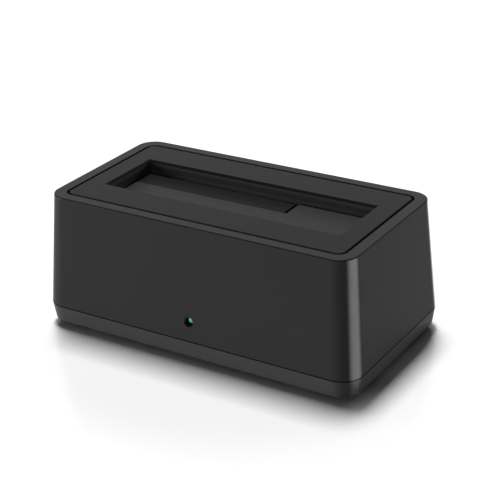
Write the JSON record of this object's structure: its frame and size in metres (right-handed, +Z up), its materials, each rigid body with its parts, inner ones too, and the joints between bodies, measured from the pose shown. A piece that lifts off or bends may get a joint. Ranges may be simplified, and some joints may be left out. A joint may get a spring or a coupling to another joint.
{
  "type": "drive docking station",
  "caption": "Upright single-bay dock that joins a bare hard drive to a computer: tapered black box with a slot closed by two sprung doors and sockets at the back.",
  "frame": {"origin": "on the ground, under the middle of the housing", "axes": "+Z up, +X along the length towards the right seen from the front, -Y towards the front with the status light"},
  "size_m": [0.14, 0.0768, 0.0555],
  "materials": {
    "shell_plastic": "fine moulded grain, black",
    "base_plastic": "fine moulded grain, black",
    "plate_plastic": "satin black",
    "well_plastic": "smooth black",
    "door_plastic": "satin black",
    "pin_steel": "ground",
    "spring_steel": "drawn wire",
    "board_laminate": "green solder mask",
    "connector_plastic": "moulded black",
    "gilt_contact": "thin gilt",
    "socket_metal": "nickel plated",
    "socket_core": "moulded blue",
    "jack_plastic": "moulded black",
    "tinned_metal": "tinned",
    "switch_plastic": "semi-gloss black",
    "led_resin": "clear green resin, lit",
    "chip_resin": "moulded resin",
    "can_metal": "bright can",
    "coil_ferrite": "sintered",
    "screw_steel": "blackened",
    "foot_rubber": "soft matte"
  },
  "bodies": {
    "root": {"upper_shell": "shell_plastic", "base_tray": "base_plastic", "top_plate": "plate_plastic", "drive_well": "well_plastic", "wide_door_pin": "pin_steel", "narrow_door_pin": "pin_steel", "wide_door_spring": "spring_steel", "narrow_door_spring": "spring_steel", "main_board": "board_laminate", "sata_connector": "connector_plastic", "sata_contacts": "gilt_contact", "usb_socket_shell": "socket_metal", "usb_socket_core": "socket_core", "usb_contacts": "gilt_contact", "dc_jack_body": "jack_plastic", "dc_jack_pin": "socket_metal", "dc_jack_terminals": "tinned_metal", "power_switch_frame": "switch_plastic", "power_switch_terminals": "tinned_metal", "status_led": "led_resin", "led_leads": "tinned_metal", "led_holder": "connector_plastic", "bridge_chip": "chip_resin", "bridge_chip_leads": "tinned_metal", "memory_chip": "chip_resin", "crystal": "can_metal", "voltage_regulator": "chip_resin", "small_board_parts": "chip_resin", "housing_screws": "screw_steel", "board_screws": "screw_steel", "well_screws": "screw_steel", "power_coil_1": "coil_ferrite", "power_coil_2": "coil_ferrite", "capacitor_1": "can_metal", "capacitor_2": "can_metal", "capacitor_3": "can_metal", "foot_rear_right": "foot_rubber", "foot_rear_left": "foot_rubber", "foot_front_left": "foot_rubber", "foot_front_right": "foot_rubber"},
    "wide_door": {"wide_door": "door_plastic"},
    "narrow_door": {"narrow_door": "door_plastic"},
    "rocker": {"power_switch_rocker": "switch_plastic"}
  },
  "joints": [
    {"name": "wide_door_hinge", "type": "hinge", "parent": "root", "child": "wide_door", "pos_m": [0, -0.01595, 0.0492], "axis": [-1, 0, 0], "range_deg": [0, 90], "stiffness_Nm_per_rad": 0.004, "springref_deg": -34.38, "deforming": ["wide_door_spring"]},
    {"name": "narrow_door_hinge", "type": "hinge", "parent": "root", "child": "narrow_door", "pos_m": [-0.01673, 0.0177, 0.0469], "axis": [1, 0, 0], "range_deg": [0, 90], "stiffness_Nm_per_rad": 0.001, "springref_deg": -34.38, "deforming": ["narrow_door_spring"]},
    {"name": "power_rocker", "type": "hinge", "parent": "root", "child": "rocker", "pos_m": [-0.024, 0.03466, 0.01545], "axis": [0, 0, 1], "range_deg": [0, 20]}
  ]
}
